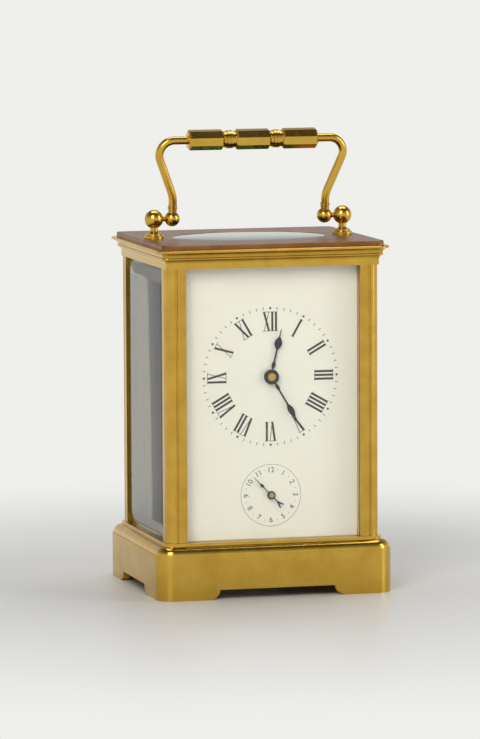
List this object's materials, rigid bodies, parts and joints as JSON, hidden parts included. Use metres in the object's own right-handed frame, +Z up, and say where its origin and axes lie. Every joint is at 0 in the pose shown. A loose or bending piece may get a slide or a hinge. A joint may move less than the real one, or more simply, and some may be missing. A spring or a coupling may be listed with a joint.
{
  "type": "travel clock",
  "caption": "Glazed brass carriage clock with carrying handle, white enamel dial, alarm dial, glazed rear door, spring-driven movement with platform escapement, and bell in the base",
  "frame": {"origin": "centre of the base's footprint, on the surface it stands on", "axes": "+Z up, -Y towards the reader of the dial, +X to the reader's right"},
  "size_m": [0.093, 0.082, 0.1768],
  "materials": {
    "brass": "polished gilt brass",
    "brass_satin": "grained gilt brass",
    "glass": "clear bevelled glass",
    "enamel": "white enamel",
    "blued_steel": "blued steel",
    "steel": "polished steel"
  },
  "bodies": {
    "case": {"base_frame": "brass", "base_plate": "brass_satin", "case_screws": "steel", "pillar_front_left": "brass", "pillar_front_right": "brass", "pillar_rear_left": "brass", "pillar_rear_right": "brass", "cornice_frame": "brass", "top_plate": "brass_satin", "top_glass": "glass", "front_glass": "glass", "left_glass": "glass", "right_glass": "glass", "handle_post_left": "brass", "handle_post_right": "brass", "handle_pivots": "steel", "dial_plate": "enamel", "front_plate": "brass_satin", "back_plate": "brass_satin", "movement_pillars": "brass_satin", "clock_screws": "blued_steel", "clicks": "steel", "bell": "steel", "bell_screw": "steel", "platform_plate": "brass_satin", "balance_cock": "brass_satin", "regulator_index": "steel", "hairspring": "blued_steel"},
    "handle": {"handle_arm_left": "brass", "handle_arm_right": "brass", "handle_grip": "brass"},
    "rear_door": {"door_frame": "brass", "door_glass": "glass", "door_knob": "brass", "door_pins": "steel"},
    "minute_hand_group": {"minute_hand": "blued_steel", "cannon_pinion": "steel", "hand_collet": "brass"},
    "minute_wheel_group": {"minute_wheel": "brass_satin"},
    "hour_hand_group": {"hour_hand": "blued_steel", "hour_wheel": "brass_satin"},
    "alarm_idler_group": {"alarm_idler": "brass_satin"},
    "alarm_wheel_group": {"alarm_wheel": "brass_satin"},
    "alarm_hand_group": {"alarm_hand": "blued_steel", "alarm_arbor": "brass"},
    "contrate_group": {"contrate_wheel": "brass_satin"},
    "escape_group": {"escape_wheel": "brass_satin"},
    "third_group": {"third_wheel": "brass_satin"},
    "centre_group": {"centre_wheel": "brass_satin"},
    "time_barrel_group": {"going_barrel": "brass_satin"},
    "balance_group": {"balance_wheel": "brass_satin"},
    "lever_group": {"pallet_lever": "steel"},
    "time_winding_group": {"time_winding_arbor": "steel", "time_ratchet": "steel"},
    "alarm_winding_group": {"alarm_winding_arbor": "steel", "alarm_ratchet": "steel"},
    "alarm_barrel_group": {"alarm_barrel": "brass_satin"},
    "alarm_escape_group": {"alarm_escape_wheel": "brass_satin"},
    "hammer_group": {"hammer": "steel"}
  },
  "joints": [
    {"name": "handle_swing", "type": "hinge", "parent": "case", "child": "handle", "pos_m": [0, 0, 0.1424], "axis": [1, 0, 0], "range_deg": [-106, 84]},
    {"name": "rear_door_hinge", "type": "hinge", "parent": "case", "child": "rear_door", "pos_m": [0.03235, 0.0348, 0.07365], "axis": [0, 0, -1], "range_deg": [0, 95]},
    {"name": "minute_hand_turn", "type": "hinge", "parent": "case", "child": "minute_hand_group", "pos_m": [0, 0, 0.0836], "axis": [0, 1, 0], "continuous": true},
    {"name": "minute_wheel_turn", "type": "hinge", "parent": "case", "child": "minute_wheel_group", "pos_m": [0.00728, 0, 0.0878], "axis": [0, 1, 0], "continuous": true},
    {"name": "hour_hand_turn", "type": "hinge", "parent": "case", "child": "hour_hand_group", "pos_m": [0, 0, 0.0836], "axis": [0, 1, 0], "continuous": true},
    {"name": "alarm_idler_turn", "type": "hinge", "parent": "case", "child": "alarm_idler_group", "pos_m": [0.00234, 0, 0.0609], "axis": [0, 1, 0], "continuous": true},
    {"name": "alarm_wheel_turn", "type": "hinge", "parent": "case", "child": "alarm_wheel_group", "pos_m": [0, 0, 0.0382], "axis": [0, 1, 0], "continuous": true},
    {"name": "alarm_hand_turn", "type": "hinge", "parent": "case", "child": "alarm_hand_group", "pos_m": [0, 0, 0.0382], "axis": [0, 1, 0], "continuous": true},
    {"name": "contrate_turn", "type": "hinge", "parent": "case", "child": "contrate_group", "pos_m": [0, 0, 0.10438], "axis": [0, 1, 0], "continuous": true},
    {"name": "escape_turn", "type": "hinge", "parent": "case", "child": "escape_group", "pos_m": [0, -0.00835, 0.116], "axis": [0, 0, 1], "continuous": true},
    {"name": "third_wheel_turn", "type": "hinge", "parent": "case", "child": "third_group", "pos_m": [0.008, 0, 0.09557], "axis": [0, 1, 0], "continuous": true},
    {"name": "centre_wheel_turn", "type": "hinge", "parent": "case", "child": "centre_group", "pos_m": [0, 0, 0.0836], "axis": [0, 1, 0], "continuous": true},
    {"name": "time_barrel_turn", "type": "hinge", "parent": "case", "child": "time_barrel_group", "pos_m": [-0.0095, 0, 0.0642], "axis": [0, 1, 0], "continuous": true},
    {"name": "balance_swing", "type": "hinge", "parent": "case", "child": "balance_group", "pos_m": [0, 0.005, 0.12], "axis": [0, 0, 1], "range_deg": [-200, 200], "stiffness_Nm_per_rad": 0.000002},
    {"name": "lever_rock", "type": "hinge", "parent": "case", "child": "lever_group", "pos_m": [0, -0.00205, 0.117], "axis": [0, 0, 1], "range_deg": [-4.1, 4.1]},
    {"name": "time_winding_turn", "type": "hinge", "parent": "case", "child": "time_winding_group", "pos_m": [-0.0095, 0, 0.0642], "axis": [0, 1, 0], "continuous": true},
    {"name": "alarm_winding_turn", "type": "hinge", "parent": "case", "child": "alarm_winding_group", "pos_m": [0.016, 0, 0.042], "axis": [0, 1, 0], "continuous": true},
    {"name": "alarm_barrel_turn", "type": "hinge", "parent": "case", "child": "alarm_barrel_group", "pos_m": [0.016, 0, 0.042], "axis": [0, 1, 0], "continuous": true},
    {"name": "alarm_escape_turn", "type": "hinge", "parent": "case", "child": "alarm_escape_group", "pos_m": [0.00426, 0, 0.04747], "axis": [0, 1, 0], "continuous": true},
    {"name": "hammer_strike", "type": "hinge", "parent": "case", "child": "hammer_group", "pos_m": [-0.015, 0.004, 0.032], "axis": [0, 1, 0], "range_deg": [-1.5, 8]}
  ],
  "couplings": [
    {"joint": "minute_wheel_turn", "follows": "minute_hand_turn", "ratio": -0.33333},
    {"joint": "hour_hand_turn", "follows": "minute_hand_turn", "ratio": 0.083333},
    {"joint": "alarm_idler_turn", "follows": "minute_hand_turn", "ratio": -0.034783},
    {"joint": "alarm_wheel_turn", "follows": "minute_hand_turn", "ratio": 0.083333},
    {"joint": "escape_turn", "follows": "contrate_turn", "ratio": 9},
    {"joint": "third_wheel_turn", "follows": "contrate_turn", "ratio": -0.13333},
    {"joint": "centre_wheel_turn", "follows": "contrate_turn", "ratio": 0.016667},
    {"joint": "time_barrel_turn", "follows": "contrate_turn", "ratio": -0.002381},
    {"joint": "lever_rock", "follows": "balance_swing", "ratio": 0.02},
    {"joint": "alarm_escape_turn", "follows": "alarm_barrel_turn", "ratio": -8.25}
  ]
}
